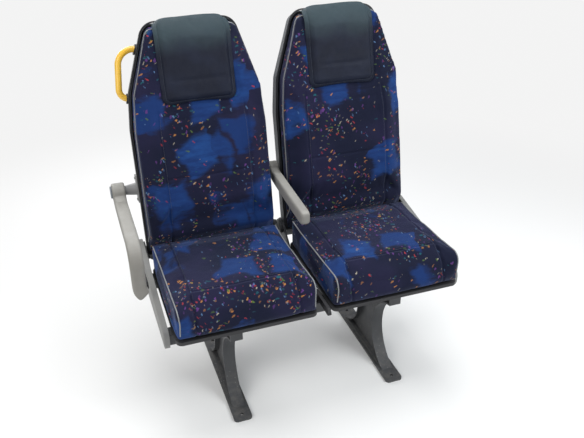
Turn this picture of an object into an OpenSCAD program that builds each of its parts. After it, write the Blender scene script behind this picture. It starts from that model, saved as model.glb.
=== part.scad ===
// Twin passenger seat for a coach: two reclining seats on one floor frame.
// The seats face -Y, the aisle is on the -X side and the window on the +X side.
// The origin is on the floor, at the middle of the four floor bolts.

/* [Seat pair] */
// Width of a seat, at its cushion and at its backrest's hips
seat_w = 440; // [420:1:470]
// Gap between the two seats
seat_gap = 44; // [40:1:60]
// Depth of a seat cushion, front to rear
cushion_d = 430; // [400:1:450]
// Height of the cushion's front roll above the seat pan
cushion_t = 113; // [95:1:130]
// Fall of the cushion's top from front to rear
cushion_fall = 17; // [5:1:30]
// Radius of the cushion's front roll
cushion_roll_r = 48; // [35:1:55]
// Place of the cushion's rear edge
cushion_rear_y = 176; // [170:1:180]

/* [Backrest] */
// Height of the recline axis above the floor
pivot_z = 425; // [418:1:440]
// Place of the recline axis behind the floor bolts' middle
pivot_y = 232; // [228:1:250]
// Lean of the backrest at rest, from upright
back_lean = 12; // [8:1:16]
// Length of the backrest above the recline axis
back_h = 730; // [690:1:780]
// Taper of each side from the hips to the shoulders
shoulder_taper = 10; // [6:1:16]
// Taper of each side from the hips to the top
crown_taper = 65; // [55:1:78]
// Distance of the shoulders below the top
shoulder_drop = 220; // [190:1:250]
// Distance of the hips' upper end below the top
hip_drop = 330; // [300:1:360]
// Front of the backrest pad, ahead of the recline axis
pad_front = 92; // [84:1:94]
// Front of the backrest pad at its top
crown_front = 72; // [64:1:80]
// Seam between pad and rear shell, ahead of the recline axis
seam_front = 22; // [20:1:26]
// Rear of the shell, behind the recline axis
shell_rear = 24; // [22:1:30]
// Rear of the shell at its top
crown_rear = 8; // [4:1:12]
// Wall of the moulded shell
shell_wall = 4; // [3:0.5:4]
// Distance below the top where the shell starts to thin
shell_thin_drop = 300; // [260:1:340]
// Height of the pad's fullest part above the recline axis
lumbar_h = 260; // [230:1:290]
// How far the shell reaches below the recline axis
shell_skirt = 45; // [36:1:50]

/* [Headrest] */
// Width of the headrest panel
head_w = 240; // [210:1:260]
// Height of the headrest panel
head_h = 250; // [210:1:280]
// Thickness of the headrest panel
head_t = 12; // [8:1:16]

/* [Floor legs] */
// Distance between the two legs
leg_gap = 540; // [480:1:600]
// Distance between a leg's floor bolts
bolt_gap = 390; // [370:1:400]
// Diameter of a floor bolt's hole
bolt_hole_d = 11; // [9:0.5:13]
// Length of a foot plate
foot_l = 440; // [430:1:460]
// Width of a foot plate
foot_w = 60; // [50:1:70]
// Thickness of a foot plate
foot_t = 8; // [6:1:10]
// Width of a leg at its waist
waist_w = 120; // [100:1:140]
// Radius of the hollow at each side of a leg
waist_r = 150; // [140:1:152]
// Thickness of the lips that hold a beam on a leg
saddle_t = 4; // [3:0.5:5]
// Height of those lips above the beams' undersides
saddle_h = 22; // [16:1:28]
// Width of a leg across its flanges
leg_w = 40; // [34:1:50]
// Thickness of a leg's web and flanges
leg_wall = 5; // [4:1:8]

/* [Beams] */
// Side of a square beam
beam_side = 40; // [36:1:44]
// Wall of a beam
beam_wall = 2.5; // [2:0.5:4]
// Distance between the beams' middles
beam_gap = 300; // [290:1:304]
// Height of the beams' undersides above the floor
beam_z = 330; // [310:1:335]
// Thickness of a seat pan
pan_t = 12; // [8:1:14]
// Thickness of the pan's skin and ribs
pan_wall = 3; // [2.5:0.5:4]

/* [Recline hinge] */
// Diameter of the recline pin
hinge_pin_d = 16; // [12:1:20]
// Thickness of a hinge plate on the backrest
hinge_plate_t = 8; // [6:1:10]
// Thickness of a bracket plate on the beam
bracket_t = 6; // [5:1:7]
// Diameter of the recliner disc
recliner_d = 52; // [44:1:56]
// Length of a hinge plate above the recline axis
hinge_plate_h = 120; // [100:1:140]
// Length of the aisle seat's recline lever
aisle_lever_l = 95; // [80:1:110]
// Length of the window seat's recline lever
window_lever_l = 105; // [90:1:120]
// Depth of the side covers
cover_depth = 15; // [13:0.5:18]

/* [Armrests] */
// Distance of the armrest axis above the recline axis, along the backrest
arm_axis_up = 215; // [200:1:230]
// Width of the aisle armrest
aisle_arm_w = 42; // [36:1:46]
// Thickness of the aisle armrest
aisle_arm_t = 30; // [24:1:34]
// Gap between the backrest's side and the aisle armrest
aisle_arm_gap = 44; // [38:1:60]
// Reach of the aisle armrest ahead of its axis
aisle_arm_reach = 335; // [300:1:350]
// Depth of the aisle armrest's nose below its bar
nose_drop = 165; // [120:1:180]
// Bend radius of the nose, at its middle
nose_r = 62; // [50:1:80]
// Turn of the nose's tip toward the seat
tip_turn = 52; // [30:1:60]
// Radius of that turn, at its middle
tip_r = 38; // [32:1:44]
// Drop of the bar's middle below the armrest axis
arm_bar_drop = 30; // [26:1:36]
// Gap between the centre armrest and a seat
centre_arm_gap = 6; // [4:0.5:8]
// Height of the centre armrest
centre_arm_h = 46; // [40:1:54]
// Length of the centre armrest ahead of its axis
centre_arm_reach = 330; // [300:1:350]
// Diameter of an armrest pin
arm_pin_d = 16; // [12:1:18]

/* [Grab handle] */
// Diameter of the handle's tube
grab_d = 20; // [18:1:24]
// Distance of the handle's upper end below the backrest's top
grab_drop = 68; // [60:1:80]
// Height between the handle's two ends
grab_h = 152; // [140:1:160]
// Reach of the handle's bar beyond the backrest's hips, at the bar's foot
grab_reach = 16; // [12:1:22]
// Lean of the bar toward the seat, from its foot up
grab_lean = 6; // [3:1:8]
// Bend radius at the handle's upper end
grab_upper_r = 50; // [44:1:54]
// Bend radius at the handle's lower end
grab_lower_r = 28; // [25:1:32]

/* [Paper pocket] */
// Width of the pocket
pocket_w = 340; // [300:1:360]
// Height of the pocket's foot above the recline axis
pocket_foot = 70; // [60:1:90]
// Height of the pocket's rim above the recline axis
pocket_top = 300; // [280:1:330]
// Reach of the pocket's foot behind the shell
pocket_foot_reach = 14; // [10:1:18]
// Reach of the pocket's rim behind the shell
pocket_reach = 42; // [34:1:50]
// Thickness of the net's hem and foot
pocket_wall = 2.5; // [2:0.5:3]

/* [Hidden] */
$fn = 64;
arc_step = 9;
AISLE = -1;
WINDOW = 1;
running = 0.05;
standoff = 0.3;

seat_pitch = seat_w + seat_gap;
shoulder_w = seat_w - 2 * shoulder_taper;
crown_w = seat_w - 2 * crown_taper;
centre_arm_w = seat_gap - 2 * centre_arm_gap;
grab_out = seat_w / 2 + grab_reach;

beam_top = beam_z + beam_side;
pan_top = beam_top + pan_t;
pan_w = seat_w - 4;
pan_inset = 22;
pan_rear_y = cushion_rear_y + 4;
cushion_front_y = cushion_rear_y - cushion_d;

// Places across a seat, counted from its middle
plate_out = seat_w / 2 - shell_wall;
back_clearance = 5;
bracket_in = seat_w / 2 + back_clearance;
bracket_out = bracket_in + bracket_t;
recliner_t = 7;
recliner_out = bracket_out + recliner_t;
beam_half = seat_pitch / 2 + bracket_out;
cap_t = 3;
cover_wall = 3;
cover_peg_d = 20;
lever_t = 10;
lever_r = 11;

arm_axis_y = pivot_y + arm_axis_up * sin(back_lean);
arm_axis_z = pivot_z + arm_axis_up * cos(back_lean);
aisle_arm_in = seat_w / 2 + aisle_arm_gap;
hub_r = 28;
centre_hub_r = 24;
arm_corner_r = 12;
arm_hub_len = 46;
arm_plate_w = hub_r * 1.5;
arm_plate_h = hub_r * 3.3;
arm_plate_t = 6;
arm_cone_d = hub_r * 1.5;
arm_cone_end_d = arm_pin_d + 14;
arm_cap_t = 5;

// Backrest seen from the front: circles [x, height, radius] of one half, from the bottom up
back_corner_r = 30;
hip_r = 40;
shoulder_r = 60;
crown_r = 50;
back_margin = 2;
back_half = [
    [seat_w / 2 - back_corner_r, back_corner_r - shell_skirt - back_margin, back_corner_r],
    [seat_w / 2 - hip_r, back_h - hip_drop, hip_r],
    [shoulder_w / 2 - shoulder_r, back_h - shoulder_drop, shoulder_r],
    [crown_w / 2 - crown_r, back_h - crown_r + back_margin, crown_r]
];

// Backrest seen from the side: circles [depth, height, radius], anticlockwise from the rear's foot
skirt_r = 10;
shell_bend_r = 20;
crown_rear_r = 22;
crown_front_r = 38;
lumbar_r = 30;
pad_foot_r = 25;
pad_foot_h = shell_skirt + pad_foot_r;
back_side = [
    [shell_rear - skirt_r, skirt_r - shell_skirt, skirt_r],
    [shell_rear - shell_bend_r, back_h - shell_thin_drop, shell_bend_r],
    [crown_rear - crown_rear_r, back_h - crown_front_r + 2, crown_rear_r],
    [crown_front_r - crown_front, back_h - crown_front_r, crown_front_r],
    [lumbar_r - pad_front, lumbar_h, lumbar_r],
    [pad_foot_r - pad_front, pad_foot_h, pad_foot_r]
];

// Direction, from either centre, of the straight line that touches circles a and b on their right-hand side
function touch_angle(a, b) =
    let (run = [b[0] - a[0], b[1] - a[1]])
    atan2(run[1], run[0]) - acos((a[2] - b[2]) / norm(run));

// Points of the arc round circle c, between the lines that touch its neighbours before and after it
function corner_arc(before, c, after) =
    let (
        start = touch_angle(before, c),
        turn = (touch_angle(c, after) - start + 720) % 360,
        steps = max(1, ceil(turn / arc_step))
    )
    [for (i = [0:steps]) [c[0], c[1]] + c[2] * [cos(start + turn * i / steps), sin(start + turn * i / steps)]];

// Circles of one half of an outline, joined by their mirror images into a closed chain
function both_halves(half) =
    concat(half, [for (i = [len(half) - 1:-1:0]) [-half[i][0], half[i][1], half[i][2]]]);

// The same circles grown or shrunk by a distance
function grown(circles, by) = [for (c = circles) [c[0], c[1], c[2] + by]];

// Convex outline wrapped round a chain of circles, anticlockwise
module wrapped(circles) {
    count = len(circles);
    polygon([for (i = [0:count - 1])
        each corner_arc(circles[(i + count - 1) % count], circles[i], circles[(i + 1) % count])]);
}

// A profile of depth and height, made w wide about the middle
module across(w) {
    rotate([90, 0, 90]) linear_extrude(w, center = true) children();
}

// A front outline, made solid from depth d0 back to depth d1
module deep(d0, d1) {
    translate([0, d1, 0]) rotate([90, 0, 0]) linear_extrude(d1 - d0) children();
}

// Rectangle about its middle with round corners
module round_rect(w, h, r) {
    square([w - 2 * r, h], center = true);
    square([w, h - 2 * r], center = true);
    for (x = [-1, 1], y = [-1, 1])
        translate([x * (w / 2 - r), y * (h / 2 - r)]) circle(r = r);
}

// Places children at a seat's middle, on the recline axis, leaning with the backrest
module on_back(side) {
    translate([side * seat_pitch / 2, pivot_y, pivot_z]) rotate([-back_lean, 0, 0]) children();
}

// Cylinder along X between two places
module pin_x(x0, x1, d) {
    translate([min(x0, x1), 0, 0]) rotate([0, 90, 0]) cylinder(d = d, h = abs(x1 - x0));
}

// Leg: a waisted side profile with a thin web between two flanges
module leg_profile(inset) {
    leg_d = beam_gap + beam_side + 2 * saddle_t;
    difference() {
        translate([-leg_d / 2 + inset, foot_t + inset])
            square([leg_d - 2 * inset, beam_z - foot_t - 2 * inset]);
        for (s = [-1, 1])
            translate([s * (waist_w / 2 + waist_r), waist_r]) circle(r = waist_r + inset);
    }
}

module pedestal(side) {
    color("dimgray") translate([side * leg_gap / 2, 0, 0]) {
        difference() {
            across(leg_w) leg_profile(0);
            for (s = [-1, 1])
                translate([s * (leg_w + leg_wall) / 2, 0, 0]) across(leg_w) leg_profile(leg_wall);
        }
        for (s = [-1, 1], e = [-1, 1])
            translate([0, s * beam_gap / 2 + e * (beam_side + saddle_t) / 2, beam_z])
                linear_extrude(saddle_h) square([leg_w, saddle_t], center = true);
        difference() {
            linear_extrude(foot_t) round_rect(foot_w, foot_l, 12);
            for (s = [-1, 1])
                translate([0, s * bolt_gap / 2, -1]) cylinder(d = bolt_hole_d, h = foot_t + 2);
        }
    }
}

module pedestal_aisle() { pedestal(AISLE); }
module pedestal_window() { pedestal(WINDOW); }

// Square hollow beam across both seats
module beam(y) {
    color("dimgray") translate([0, y, beam_z + beam_side / 2])
        across(2 * beam_half) difference() {
            round_rect(beam_side, beam_side, 4);
            round_rect(beam_side - 2 * beam_wall, beam_side - 2 * beam_wall, 1.5);
        }
}

module front_beam() { beam(-beam_gap / 2); }
module rear_beam() { beam(beam_gap / 2); }

// Plugs that close the beams' four ends
module beam_caps() {
    plug = beam_side - 2 * beam_wall - 0.4;
    color("black") for (side = [AISLE, WINDOW], y = [-1, 1])
        translate([side * beam_half, y * beam_gap / 2, beam_z + beam_side / 2]) {
            translate([side * cap_t / 2, 0, 0]) across(cap_t) round_rect(beam_side, beam_side, 4);
            translate([-side * 6, 0, 0]) across(12) round_rect(plug, plug, 1.3);
        }
}

// Pan that carries a cushion: a thin skin with a grid of ribs underneath
module seat_pan(side) {
    pan_front_y = cushion_front_y + pan_inset;
    pan_d = pan_rear_y - pan_front_y;
    rim = 3 * pan_wall;
    cells = 4;
    cell_x = (pan_w - 2 * rim + pan_wall) / cells;
    cell_y = (pan_d - 2 * rim + pan_wall) / cells;
    color("black") translate([side * seat_pitch / 2, (pan_front_y + pan_rear_y) / 2, beam_top])
        difference() {
            linear_extrude(pan_t) round_rect(pan_w, pan_d, 20);
            for (i = [0:cells - 1], j = [0:cells - 1])
                translate([(i - (cells - 1) / 2) * cell_x, (j - (cells - 1) / 2) * cell_y, -1])
                    linear_extrude(pan_t - pan_wall + 1)
                        round_rect(cell_x - pan_wall, cell_y - pan_wall, 10);
        }
}

module aisle_seat_pan() { seat_pan(AISLE); }
module window_seat_pan() { seat_pan(WINDOW); }

// Cushion: a side profile with a front roll, trimmed to a plan with round corners
module cushion(side) {
    rear_top = cushion_t - cushion_fall;
    profile = [
        [cushion_rear_y - 12, 12, 12],
        [cushion_rear_y - 24, rear_top - 24, 24],
        [cushion_front_y + cushion_roll_r, cushion_t - cushion_roll_r, cushion_roll_r],
        [cushion_front_y + 40, 30, 30]
    ];
    color("midnightblue") translate([side * seat_pitch / 2, 0, pan_top])
        intersection() {
            across(seat_w + 20) wrapped(profile);
            translate([0, cushion_rear_y - cushion_d / 2, -1])
                linear_extrude(cushion_t + 2) round_rect(seat_w, cushion_d + 3, 38);
        }
}

module aisle_cushion() { cushion(AISLE); }
module window_cushion() { cushion(WINDOW); }

// Bracket plates on the rear beam, each with a recliner disc and a pin for the backrest
module recline_brackets(side) {
    outline = [
        [pivot_y, pivot_z, recliner_d / 2 + 3],
        [beam_gap / 2 - 4, beam_top + 6, 14],
        [beam_gap / 2 + 6, beam_top, 14]
    ];
    color("dimgray") translate([side * seat_pitch / 2, 0, 0]) for (s = [-1, 1]) {
        translate([s * (bracket_in + bracket_t / 2), 0, 0]) across(bracket_t) intersection() {
            wrapped(outline);
            translate([0, beam_top]) square([pivot_y + recliner_d, pivot_z + recliner_d - beam_top]);
        }
        translate([s * bracket_out, pivot_y, pivot_z]) pin_x(0, s * recliner_t, recliner_d);
        translate([s * plate_out, pivot_y, pivot_z]) {
            pin_x(s * standoff, s * (bracket_in - plate_out), hinge_pin_d + 10);
            pin_x(-s * (hinge_plate_t + 3), s * 1, hinge_pin_d);
        }
    }
}

module aisle_recline_brackets() { recline_brackets(AISLE); }
module window_recline_brackets() { recline_brackets(WINDOW); }

// Moulded cover over the hinge and the beams' ends, at the outer side of a seat
module side_cover(side) {
    face = [
        [-beam_gap / 2 - 8, beam_z + beam_side / 2 + 2, 30],
        [pivot_y - 40, beam_z + beam_side / 2 + 2, 30],
        [pivot_y + 2, pivot_z, 38],
        [-beam_gap / 2 - 8, beam_z + beam_side / 2 + 16, 30]
    ];
    x_in = seat_pitch / 2 + bracket_out;
    color("darkgray") {
        translate([side * (x_in + cover_depth / 2), 0, 0]) difference() {
            across(cover_depth) wrapped(face);
            translate([-side * cover_wall, 0, 0]) across(cover_depth) wrapped(grown(face, -cover_wall));
        }
        translate([side * (x_in + cover_depth), pivot_y, pivot_z]) pin_x(0, side * 2, recliner_d + 4);
        translate([side * (x_in + recliner_t), pivot_y, pivot_z])
            pin_x(0, side * (cover_depth - recliner_t - 1), cover_peg_d);
        translate([side * (x_in + cap_t), -beam_gap / 2, beam_z + beam_side / 2])
            pin_x(0, side * (cover_depth - cap_t - 1), cover_peg_d);
    }
}

module aisle_side_cover() { side_cover(AISLE); }
module window_side_cover() { side_cover(WINDOW); }

// Flat paddle that frees the recline lock
module lever(length) {
    across(lever_t) wrapped([[0, 0, lever_r], [-length + 4, 6, 5], [-length, -4, 8]]);
}

module aisle_recline_lever() {
    lever_x = seat_pitch / 2 + bracket_out + cover_depth + lever_t / 2;
    color("black") translate([-lever_x, pivot_y - 70, pivot_z - 30]) lever(aisle_lever_l);
}

// Lever of the window seat, between the cushions, on a post on the front beam
module window_recline_lever() {
    post_h = 26;
    color("black") {
        translate([0, -beam_gap / 2, beam_top])
            linear_extrude(post_h) square([lever_t, 2 * lever_r - 2], center = true);
        translate([0, -beam_gap / 2, beam_top + post_h]) lever(window_lever_l);
    }
}

// Hinge plates inside the shell's foot, with bores for the recline pins
module back_hinges(side) {
    color("dimgray") on_back(side) for (s = [-1, 1])
        translate([s * (plate_out - hinge_plate_t / 2), 0, 0]) across(hinge_plate_t) difference() {
            wrapped([[0, 0, hinge_pin_d / 2 + 10], [-3, hinge_plate_h, hinge_pin_d / 2 + 7]]);
            circle(d = hinge_pin_d + 2 * running);
        }
}

module aisle_back_hinges() { back_hinges(AISLE); }
module window_back_hinges() { back_hinges(WINDOW); }

// Backrest as one closed form, shrunk by an inset, between two depths
module back_form(inset, d0, d1) {
    intersection() {
        across(seat_w + 20) wrapped(grown(back_side, -inset));
        deep(d0, d1) wrapped(both_halves(grown(back_half, -inset)));
    }
}

// Moulded rear shell, open to the front, with holes for the recline hinge
module back_shell(side) {
    color("dimgray") on_back(side) difference() {
        back_form(0, -seam_front, shell_rear + 1);
        back_form(shell_wall, -seam_front - 1, shell_rear + 1);
        for (s = [-1, 1])
            pin_x(s * (plate_out - 1), s * (seat_w / 2 + 1), hinge_pin_d + 14);
    }
}

module aisle_back_shell() { back_shell(AISLE); }
module window_back_shell() { back_shell(WINDOW); }

// Upholstered front of the backrest
module back_pad(side) {
    color("midnightblue") on_back(side) back_form(0, -pad_front - 1, -seam_front);
}

module aisle_back_pad() { back_pad(AISLE); }
module window_back_pad() { back_pad(WINDOW); }

// Headrest panel: wraps over the top of the pad
module head_pad(side) {
    color("darkslategray") on_back(side) intersection() {
        across(head_w) difference() {
            wrapped(grown(back_side, head_t));
            wrapped(back_side);
        }
        deep(-pad_front - head_t, -seam_front)
            translate([0, back_h - head_h / 2 + head_t]) round_rect(head_w, head_h + 2 * head_t, 28);
    }
}

module aisle_head_pad() { head_pad(AISLE); }
module window_head_pad() { head_pad(WINDOW); }

// Height of the handle's foot above the recline axis, and the length of its bar between the bends
grab_foot = back_h - grab_drop - grab_h;
bar_l = grab_h - grab_upper_r - grab_lower_r;
grab_in = shoulder_w / 2 - 30;

// Height at which an end of the handle, z up the leaning bar, meets a place across the backrest
function end_height(z, x) =
    grab_foot + grab_lower_r + z * cos(grab_lean) - (grab_out - x - z * sin(grab_lean)) * tan(grab_lean);

// Yellow tube in the shape of a C, leaning in at its top: a wide upper bend and a tight lower one
module grab_tube(d) {
    translate([-grab_out, 0, grab_foot + grab_lower_r]) rotate([0, grab_lean, 0]) {
        cylinder(d = d, h = bar_l);
        translate([grab_upper_r, 0, bar_l]) rotate([90, 0, 0])
            rotate_extrude(angle = 90, start = 90) translate([grab_upper_r, 0]) circle(d = d);
        translate([grab_lower_r, 0, 0]) rotate([90, 0, 0])
            rotate_extrude(angle = 90, start = 180) translate([grab_lower_r, 0]) circle(d = d);
        translate([0, 0, bar_l + grab_upper_r]) pin_x(grab_upper_r, grab_out - grab_in, d);
        translate([0, 0, -grab_lower_r]) pin_x(grab_lower_r, grab_out - grab_in, d);
    }
}

module grab_handle() {
    color("gold") on_back(AISLE) difference() {
        grab_tube(grab_d);
        deep(-grab_d, grab_d) wrapped(both_halves(back_half));
    }
}

// Sockets that hold the handle's ends at the shell's side
module grab_handle_sockets() {
    color("black") on_back(AISLE) difference() {
        for (z = [end_height(bar_l + grab_upper_r, crown_w / 2), end_height(-grab_lower_r, shoulder_w / 2)])
            translate([0, 0, z]) intersection() {
                pin_x(-seat_w / 2, 0, grab_d + 12);
                translate([0, 0, -z]) deep(-grab_d, grab_d) wrapped(both_halves(grown(back_half, 7)));
            }
        grab_tube(grab_d);
        deep(-grab_d - 8, grab_d + 8) wrapped(both_halves(back_half));
    }
}

// Pocket for papers on the back of the shell: a net that leans out to its open top
module pocket(side) {
    net_top = pocket_top - pocket_foot;
    color("black") on_back(side) translate([0, shell_rear, pocket_foot]) difference() {
        across(pocket_w)
            polygon([[0, 0], [pocket_foot_reach, 0], [pocket_reach, net_top], [0, net_top]]);
        across(pocket_w - 2 * pocket_wall)
            polygon([
                [-1, pocket_wall],
                [pocket_foot_reach - pocket_wall, pocket_wall],
                [pocket_reach - pocket_wall, net_top + 1],
                [-1, net_top + 1]
            ]);
    }
}

module aisle_pocket() { pocket(AISLE); }
module window_pocket() { pocket(WINDOW); }

// Bracket that carries the aisle armrest away from the backrest's side
module aisle_arm_bracket() {
    color("dimgray") on_back(AISLE) translate([-seat_w / 2, 0, arm_axis_up]) {
        translate([-arm_plate_t / 2, 1, 0]) across(arm_plate_t)
            round_rect(arm_plate_w, arm_plate_h, arm_corner_r);
        translate([-arm_plate_t, 0, 0]) rotate([0, -90, 0])
            cylinder(d1 = arm_cone_d - 1, d2 = arm_cone_end_d, h = aisle_arm_gap - arm_plate_t - standoff);
        pin_x(0, -aisle_arm_gap - aisle_arm_w - 1, arm_pin_d);
    }
}

// Boss and pin that carry the centre armrest, on the aisle seat's inner side
module centre_arm_bracket() {
    boss = centre_arm_gap - standoff;
    color("dimgray") on_back(AISLE) translate([seat_w / 2, 0, arm_axis_up]) {
        pin_x(0, boss, centre_hub_r * 1.5);
        pin_x(0, centre_arm_gap + centre_arm_w - cap_t - standoff, arm_pin_d);
    }
}

// Aisle armrest: hub, level bar and a nose that turns down and curls in toward the seat
module aisle_armrest() {
    bar_z = -arm_bar_drop;
    nose_y = -aisle_arm_reach + aisle_arm_t / 2;
    tip_z = bar_z - nose_drop + tip_r * sin(tip_turn);
    color("lightgray") translate([-seat_pitch / 2 - aisle_arm_in - aisle_arm_w / 2, arm_axis_y, arm_axis_z])
        difference() {
            union() {
                across(aisle_arm_w) wrapped([
                    [0, 0, hub_r],
                    [-arm_hub_len, bar_z, aisle_arm_t / 2],
                    [-arm_hub_len + 40, bar_z, aisle_arm_t / 2]
                ]);
                translate([0, -arm_hub_len, bar_z]) rotate([90, 0, 0])
                    linear_extrude(-nose_y - nose_r - arm_hub_len)
                        round_rect(aisle_arm_w, aisle_arm_t, arm_corner_r);
                translate([0, nose_y + nose_r, bar_z - nose_r]) rotate([0, -90, 0])
                    rotate_extrude(angle = 90, start = 270)
                        translate([nose_r, 0]) round_rect(aisle_arm_t, aisle_arm_w, arm_corner_r);
                translate([0, nose_y, tip_z])
                    linear_extrude(bar_z - nose_r - tip_z) round_rect(aisle_arm_w, aisle_arm_t, arm_corner_r);
                translate([tip_r, nose_y, tip_z]) rotate([90, 0, 0])
                    rotate_extrude(angle = tip_turn, start = 180)
                        translate([tip_r, 0]) round_rect(aisle_arm_w, aisle_arm_t, arm_corner_r);
            }
            pin_x(-aisle_arm_w, aisle_arm_w, arm_pin_d + 2 * running);
        }
}

// Cap over the end of the aisle armrest's pin
module aisle_arm_cap() {
    color("gray") translate([-seat_pitch / 2 - aisle_arm_in - aisle_arm_w, arm_axis_y, arm_axis_z])
        difference() {
            pin_x(0, -arm_cap_t, 2 * hub_r - 16);
            pin_x(1, -1 - standoff, arm_pin_d + 1);
        }
}

// Centre armrest: a slim padded bar that folds up between the backrests
module centre_armrest() {
    tip = 18;
    color("lightgray") translate([0, arm_axis_y, arm_axis_z]) difference() {
        across(centre_arm_w) wrapped([
            [0, 0, centre_hub_r],
            [-centre_arm_reach + tip, 2 - arm_bar_drop + centre_arm_h / 2 - tip, tip],
            [-centre_arm_reach + tip + 14, tip - arm_bar_drop - centre_arm_h / 2, tip],
            [-30, tip - arm_bar_drop - centre_arm_h / 2 + 10, tip]
        ]);
        pin_x(-centre_arm_w, centre_arm_w / 2 - cap_t + 0.5, arm_pin_d + 2 * running);
    }
}

// Thin button that closes the centre armrest's hub on the window side
module centre_arm_cap() {
    color("gray") translate([centre_arm_w / 2, arm_axis_y, arm_axis_z]) pin_x(0, 1, arm_pin_d + 14);
}

pedestal_aisle();
pedestal_window();
front_beam();
rear_beam();
beam_caps();
aisle_seat_pan();
window_seat_pan();
aisle_cushion();
window_cushion();
aisle_recline_brackets();
window_recline_brackets();
aisle_side_cover();
window_side_cover();
aisle_recline_lever();
window_recline_lever();
aisle_back_hinges();
aisle_back_shell();
aisle_back_pad();
aisle_head_pad();
grab_handle();
grab_handle_sockets();
aisle_pocket();
aisle_arm_bracket();
centre_arm_bracket();
window_back_hinges();
window_back_shell();
window_back_pad();
window_head_pad();
window_pocket();
aisle_armrest();
aisle_arm_cap();
centre_armrest();
centre_arm_cap();
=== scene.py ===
"""Coach twin seat: soft parts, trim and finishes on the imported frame."""

import math
from contextlib import contextmanager

import bmesh
import bpy
from mathutils import Matrix, Vector, noise
from mathutils.bvhtree import BVHTree


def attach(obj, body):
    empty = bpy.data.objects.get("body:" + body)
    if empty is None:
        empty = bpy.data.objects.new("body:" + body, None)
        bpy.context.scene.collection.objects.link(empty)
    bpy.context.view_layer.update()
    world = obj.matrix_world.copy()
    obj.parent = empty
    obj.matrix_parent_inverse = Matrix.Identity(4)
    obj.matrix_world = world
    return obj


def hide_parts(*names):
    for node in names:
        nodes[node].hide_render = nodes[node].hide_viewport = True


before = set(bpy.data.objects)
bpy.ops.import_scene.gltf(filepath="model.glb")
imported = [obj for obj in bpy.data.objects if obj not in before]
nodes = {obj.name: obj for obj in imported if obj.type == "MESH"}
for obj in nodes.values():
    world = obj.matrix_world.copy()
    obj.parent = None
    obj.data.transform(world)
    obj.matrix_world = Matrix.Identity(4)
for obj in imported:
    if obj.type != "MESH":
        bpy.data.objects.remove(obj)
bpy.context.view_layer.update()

# Sizes of the seat, in metres
SEAT_X = 0.242
PIVOT = Vector((0, 0.232, 0.425))
LEAN = math.radians(12)
PAD_SEAM = -0.022
SHELL_REAR = 0.024
PAN_TOP = 0.382
AISLE_ARM_X, ARM_Y, ARM_Z = -0.527, 0.2767, 0.6353
SIDES = {"aisle": -SEAT_X, "window": SEAT_X}
HANDS = {"aisle": -1, "window": 1}

# Headrest panel: half its width, its foot, the middle of its corner and the corner's radius
PANEL_HALF, PANEL_FOOT, PANEL_CORNER = 0.12, 0.48, 0.028
CORNER_X, CORNER_H = 0.092, 0.508
BORDER = 0.013

# Seams in the covers, and the rows of stitches beside them
CUSHION_SEAM, FRONT_SEAM = 0.158, -0.165
STITCH_OFF, STITCH_STEP = 0.0055, 0.0045

PALE = (0.90, 0.90, 0.90)


def back_frame(side):
    """Place of a backrest: its recline axis, leaning, with x across, y to the rear and z up the back."""
    return Matrix.Translation((SIDES[side], PIVOT.y, PIVOT.z)) @ Matrix.Rotation(-LEAN, 4, "X")


# Camera, lights and floor


def set_up_camera():
    bpy.ops.object.camera_add(location=(-0.67, -1.80, 1.69))
    camera = bpy.context.object
    aim = Vector((-0.01, 0.05, 0.555)) - camera.location
    camera.rotation_euler = aim.to_track_quat("-Z", "Y").to_euler()
    camera.data.lens = 43
    bpy.context.scene.camera = camera


def set_up_lamp(name, place, aim, size, watts, tint=(1, 1, 1)):
    bpy.ops.object.light_add(type="AREA", location=place)
    lamp = bpy.context.object
    lamp.name = name
    lamp.rotation_euler = (Vector(aim) - Vector(place)).to_track_quat("-Z", "Y").to_euler()
    lamp.data.size = size
    lamp.data.energy = watts
    lamp.data.color = tint


def set_up_studio():
    scene = bpy.context.scene
    scene.view_settings.view_transform = "Standard"
    set_up_lamp("window light", (1.9, -1.5, 2.3), (0.1, 0.0, 0.7), 1.6, 62, (0.95, 0.98, 1.0))
    set_up_lamp("aisle light", (-2.3, -1.2, 1.8), (-0.2, 0.0, 0.6), 1.8, 34, (1.0, 0.98, 0.95))
    set_up_lamp("ceiling light", (0.0, 0.5, 2.9), (0.0, 0.1, 0.6), 2.0, 48)
    set_up_lamp("rear light", (-0.9, 2.4, 1.7), (0.0, 0.2, 0.7), 1.6, 30)

    # The camera sees a pale backdrop, while the light from all round is dimmer
    air = Finish("studio", "worlds", "Background")
    scene.world = air.material
    air.set(color=(0.92, 0.95, 1.0), strength=0.42)
    backdrop = air.node("ShaderNodeBackground", {"Color": PALE})
    seen = air.node("ShaderNodeLightPath", output="Is Camera Ray")
    through = air.node("ShaderNodeLightPath", output="Is Transmission Ray")
    air.cover(backdrop, seen.maths("MAXIMUM", through))

    bpy.ops.mesh.primitive_grid_add(x_subdivisions=8, y_subdivisions=8, size=60, location=(0, 0, 0))
    floor = bpy.context.object
    floor.name = "studio_floor"
    paint = Finish("studio floor")
    paint.set(base_color=(0.80, 0.80, 0.79), roughness=0.8, specular_ior_level=0.2)
    glow = paint.node("ShaderNodeEmission", {"Color": PALE, "Strength": 1.0})
    seen = paint.node("ShaderNodeLightPath", output="Is Camera Ray")
    away = paint.node("ShaderNodeVectorMath", {0: paint.place}, "Value", operation="LENGTH")
    paint.cover(glow, seen * away.ease(0.75, 2.6))
    floor.data.materials.append(paint.material)


# Finishes


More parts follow.
